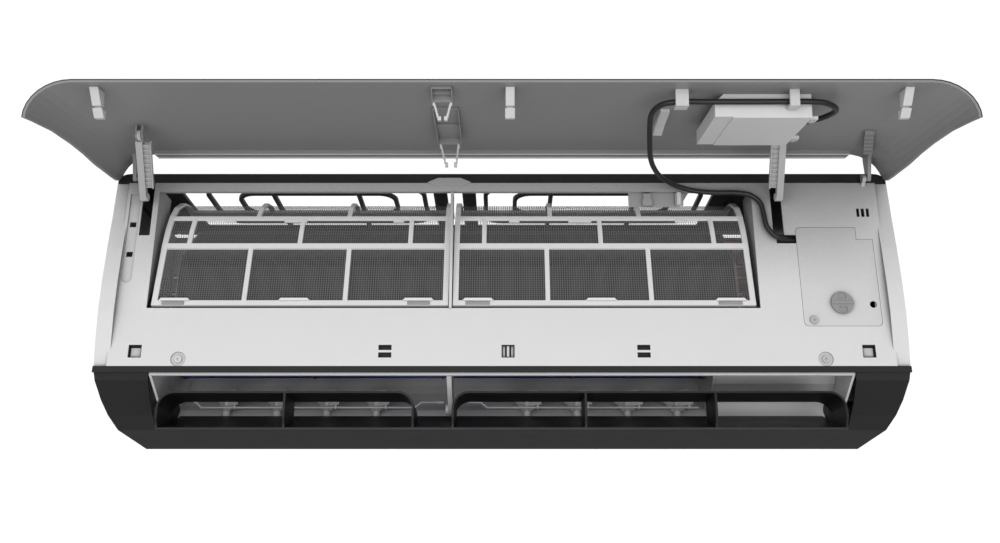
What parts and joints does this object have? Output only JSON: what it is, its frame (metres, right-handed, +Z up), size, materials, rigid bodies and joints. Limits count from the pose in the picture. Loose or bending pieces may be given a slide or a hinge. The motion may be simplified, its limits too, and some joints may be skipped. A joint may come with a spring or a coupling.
{
  "type": "mini split indoor unit",
  "caption": "Wall-mounted indoor unit of a split air conditioner, its front panel raised on stays over the filters, electronics cover, louver and vanes.",
  "frame": {"origin": "on the wall plane, at the middle of the casing's width and height", "axes": "+X to the right along the wall as seen from the room, +Y into the wall, +Z up"},
  "size_m": [0.87, 0.4236, 0.3167],
  "materials": {
    "casing_light": "fine satin",
    "casing_dark": "fine grain",
    "top_black": "satin",
    "chassis_grey": "fine grain",
    "duct_grey": "satin",
    "pan_white": "satin",
    "support_white": "satin",
    "cover_light": "fine satin",
    "knob_grey": "satin",
    "screw_steel": "bright",
    "fin_aluminium": "bright",
    "plate_zinc": "galvanised",
    "tube_copper": "drawn",
    "nut_brass": "machined",
    "blower_blue": "satin",
    "shaft_steel": "turned",
    "bearing_black": "matt",
    "motor_grey": "satin",
    "clamp_grey": "satin",
    "louver_black": "satin",
    "vane_grey": "satin",
    "rod_grey": "satin",
    "filter_white": "satin",
    "net_grey": "woven",
    "box_dark": "satin",
    "board_green": "gloss",
    "terminal_ivory": "satin",
    "bracket_grey": "satin",
    "sensor_white": "gloss",
    "panel_grey": "satin",
    "skin_black": "gloss",
    "clip_light": "satin",
    "stay_grey": "satin",
    "module_grey": "satin",
    "cable_black": "matt"
  },
  "bodies": {
    "chassis": {"wall_plate": "plate_zinc", "rear_chassis": "chassis_grey", "front_frame": "casing_light", "outlet_frame": "casing_dark", "top_casing": "top_black", "outlet_duct": "duct_grey", "drain_pan": "pan_white", "centre_support": "support_white", "electronics_cover": "cover_light", "case_screws": "screw_steel", "fin_block_front": "fin_aluminium", "fin_block_top": "fin_aluminium", "fin_block_rear": "fin_aluminium", "coil_end_plates": "plate_zinc", "coil_tubes": "tube_copper", "liquid_pipe": "tube_copper", "suction_pipe": "tube_copper", "flare_nuts": "nut_brass", "fan_bearing": "bearing_black", "fan_motor": "motor_grey", "motor_clamp": "clamp_grey", "louver_motor": "shaft_steel", "control_box": "box_dark", "control_board": "board_green", "terminal_block": "terminal_ivory", "sensor_bracket": "bracket_grey", "room_sensor": "sensor_white", "panel_cable_free": "cable_black", "panel_cable_fixed": "cable_black"},
    "blower": {"blower_wheel": "blower_blue", "blower_shaft": "shaft_steel"},
    "louver": {"louver": "louver_black"},
    "filter_left": {"filter_left_frame": "filter_white", "filter_left_net": "net_grey"},
    "filter_right": {"filter_right_frame": "filter_white", "filter_right_net": "net_grey"},
    "front_panel": {"front_panel": "panel_grey", "panel_skin": "skin_black", "panel_latches": "clip_light", "panel_clips": "clip_light", "cable_clips": "clip_light", "module_box": "module_grey", "module_board": "board_green", "module_screws": "screw_steel", "panel_cable_loop": "cable_black"},
    "stay_left": {"stay_left": "stay_grey"},
    "stay_right": {"stay_right": "stay_grey"},
    "lock_knob": {"cover_lock_knob": "knob_grey"},
    "vane_rod_left": {"vane_rod_left": "rod_grey"},
    "vane_rod_right": {"vane_rod_right": "rod_grey"},
    "vane_left_1": {"vane_left_1": "vane_grey"},
    "vane_left_2": {"vane_left_2": "vane_grey"},
    "vane_left_3": {"vane_left_3": "vane_grey"},
    "vane_left_4": {"vane_left_4": "vane_grey"},
    "vane_right_1": {"vane_right_1": "vane_grey"},
    "vane_right_2": {"vane_right_2": "vane_grey"},
    "vane_right_3": {"vane_right_3": "vane_grey"},
    "vane_right_4": {"vane_right_4": "vane_grey"}
  },
  "joints": [
    {"name": "panel_hinge", "type": "hinge", "parent": "chassis", "child": "front_panel", "pos_m": [0, -0.195, 0.131], "axis": [1, 0, 0], "range_deg": [0, 80.9], "deforming": ["panel_cable_free"]},
    {"name": "stay_left_pivot", "type": "hinge", "parent": "front_panel", "child": "stay_left", "pos_m": [-0.375, -0.29311, 0.13655], "axis": [1, 0, 0], "range_deg": [0, 20.6]},
    {"name": "stay_right_pivot", "type": "hinge", "parent": "front_panel", "child": "stay_right", "pos_m": [0.29, -0.29311, 0.13655], "axis": [1, 0, 0], "range_deg": [0, 20.6]},
    {"name": "filter_left_slide", "type": "slide", "parent": "chassis", "child": "filter_left", "axis": [0, 0.866, 0.5], "range_m": [-0.22, 0]},
    {"name": "filter_right_slide", "type": "slide", "parent": "chassis", "child": "filter_right", "axis": [0, 0.866, 0.5], "range_m": [-0.22, 0]},
    {"name": "louver_tilt", "type": "hinge", "parent": "chassis", "child": "louver", "pos_m": [0, -0.118, -0.117], "axis": [1, 0, 0], "range_deg": [-43, 17]},
    {"name": "blower_spin", "type": "hinge", "parent": "chassis", "child": "blower", "pos_m": [0, -0.095, -0.028], "axis": [1, 0, 0], "continuous": true},
    {"name": "cover_lock", "type": "hinge", "parent": "chassis", "child": "lock_knob", "pos_m": [0.3686, -0.192, -0.0144], "axis": [0, 1, 0], "range_deg": [0, 90]},
    {"name": "vane_left_1_swing", "type": "hinge", "parent": "chassis", "child": "vane_left_1", "pos_m": [-0.316, -0.092, -0.105], "axis": [0, 0, 1], "range_deg": [-80, 3]},
    {"name": "vane_left_2_swing", "type": "hinge", "parent": "chassis", "child": "vane_left_2", "pos_m": [-0.258, -0.092, -0.105], "axis": [0, 0, 1], "range_deg": [-80, 3]},
    {"name": "vane_left_3_swing", "type": "hinge", "parent": "chassis", "child": "vane_left_3", "pos_m": [-0.201, -0.092, -0.105], "axis": [0, 0, 1], "range_deg": [-80, 3]},
    {"name": "vane_left_4_swing", "type": "hinge", "parent": "chassis", "child": "vane_left_4", "pos_m": [-0.144, -0.092, -0.105], "axis": [0, 0, 1], "range_deg": [-80, 3]},
    {"name": "vane_rod_left_pivot", "type": "hinge", "parent": "vane_left_1", "child": "vane_rod_left", "pos_m": [-0.30398, -0.10402, -0.112], "axis": [0, 0, 1], "range_deg": [-3, 80]},
    {"name": "vane_right_1_swing", "type": "hinge", "parent": "chassis", "child": "vane_right_1", "pos_m": [0.029, -0.092, -0.105], "axis": [0, 0, 1], "range_deg": [-80, 3]},
    {"name": "vane_right_2_swing", "type": "hinge", "parent": "chassis", "child": "vane_right_2", "pos_m": [0.086, -0.092, -0.105], "axis": [0, 0, 1], "range_deg": [-80, 3]},
    {"name": "vane_right_3_swing", "type": "hinge", "parent": "chassis", "child": "vane_right_3", "pos_m": [0.144, -0.092, -0.105], "axis": [0, 0, 1], "range_deg": [-80, 3]},
    {"name": "vane_right_4_swing", "type": "hinge", "parent": "chassis", "child": "vane_right_4", "pos_m": [0.201, -0.092, -0.105], "axis": [0, 0, 1], "range_deg": [-80, 3]},
    {"name": "vane_rod_right_pivot", "type": "hinge", "parent": "vane_right_1", "child": "vane_rod_right", "pos_m": [0.04102, -0.10402, -0.112], "axis": [0, 0, 1], "range_deg": [-3, 80]}
  ],
  "couplings": [
    {"joint": "stay_left_pivot", "follows": "panel_hinge", "ratio": 0.2546},
    {"joint": "stay_right_pivot", "follows": "panel_hinge", "ratio": 0.2546},
    {"joint": "vane_left_2_swing", "follows": "vane_left_1_swing", "ratio": 1},
    {"joint": "vane_left_3_swing", "follows": "vane_left_1_swing", "ratio": 1},
    {"joint": "vane_left_4_swing", "follows": "vane_left_1_swing", "ratio": 1},
    {"joint": "vane_rod_left_pivot", "follows": "vane_left_1_swing", "ratio": -1},
    {"joint": "vane_right_2_swing", "follows": "vane_right_1_swing", "ratio": 1},
    {"joint": "vane_right_3_swing", "follows": "vane_right_1_swing", "ratio": 1},
    {"joint": "vane_right_4_swing", "follows": "vane_right_1_swing", "ratio": 1},
    {"joint": "vane_rod_right_pivot", "follows": "vane_right_1_swing", "ratio": -1}
  ]
}
